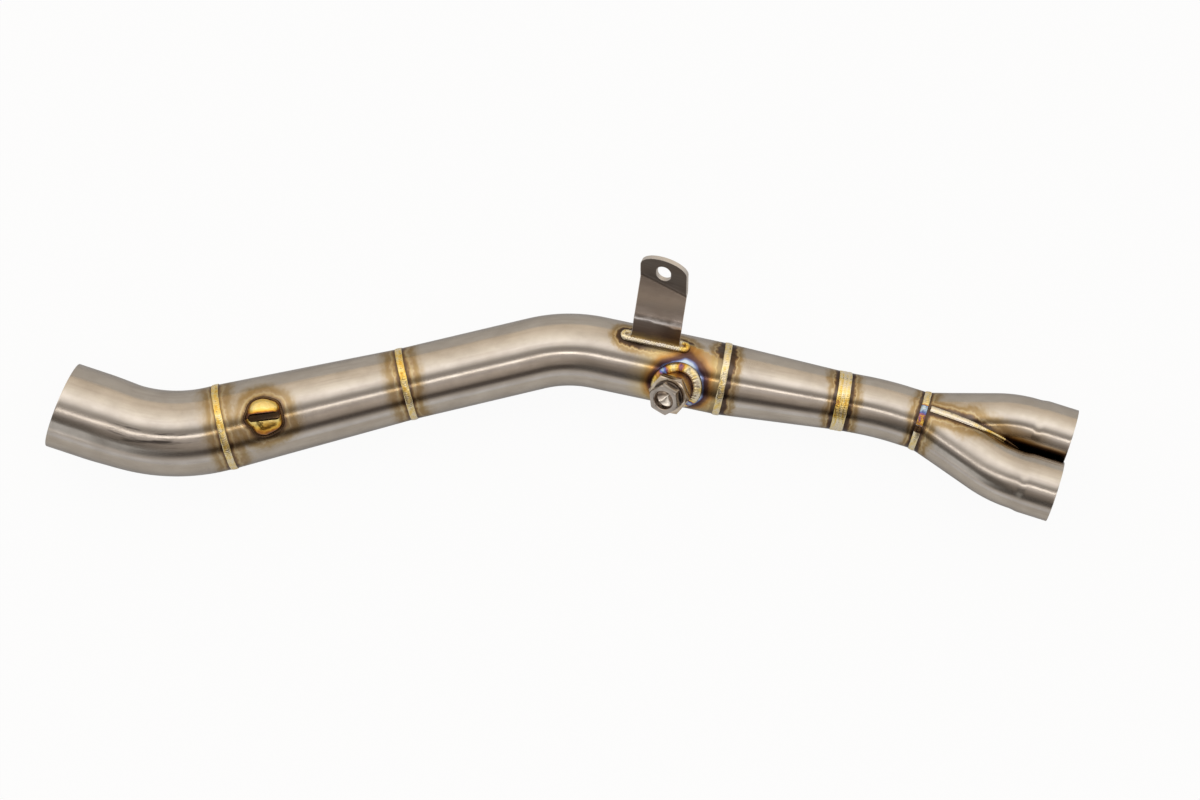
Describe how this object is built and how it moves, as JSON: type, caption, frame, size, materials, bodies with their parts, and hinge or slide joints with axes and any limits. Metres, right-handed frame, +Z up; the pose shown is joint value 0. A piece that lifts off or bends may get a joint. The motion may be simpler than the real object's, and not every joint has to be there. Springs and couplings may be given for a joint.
{
  "type": "exhaust y-pipe",
  "caption": "Motorcycle exhaust y-pipe: twin inlet sockets merge into a neck, cone, bent main tube and taper to a slip-on outlet, with bracket, plugged sensor boss and spring hook.",
  "frame": {"origin": "centre of the bounding box on the floor the pipe lies on", "axes": "+X from the outlet to the inlet sockets, +Y towards the bracket's side, +Z up, away from the floor; the picture looks down on it"},
  "size_m": [0.7254, 0.1846, 0.0829],
  "materials": {
    "brushed_steel": "brushed, heat tinted beside the welds",
    "weld_bead": "rippled TIG bead, straw to blue heat tint",
    "heat_tinted_hook": "smooth, gold heat tint",
    "bracket_sheet": "satin, dull brown",
    "turned_steel": "turned",
    "crush_washer": "dull, dark"
  },
  "bodies": {
    "root": {"outlet_bend": "brushed_steel", "outlet_weld": "weld_bead", "taper_cone": "brushed_steel", "taper_weld": "weld_bead", "mid_bend": "brushed_steel", "reducer_weld": "weld_bead", "reducer_cone": "brushed_steel", "neck_weld": "weld_bead", "merge_neck": "brushed_steel", "collector_weld": "weld_bead", "upper_inlet_leg": "brushed_steel", "lower_inlet_leg": "brushed_steel", "merge_seam_weld": "weld_bead", "mount_bracket": "bracket_sheet", "bracket_weld": "weld_bead", "sensor_boss": "turned_steel", "boss_weld": "weld_bead", "plug_washer": "crush_washer", "sensor_plug": "turned_steel", "spring_hook": "heat_tinted_hook", "spring_hook_weld": "weld_bead"}
  },
  "joints": []
}
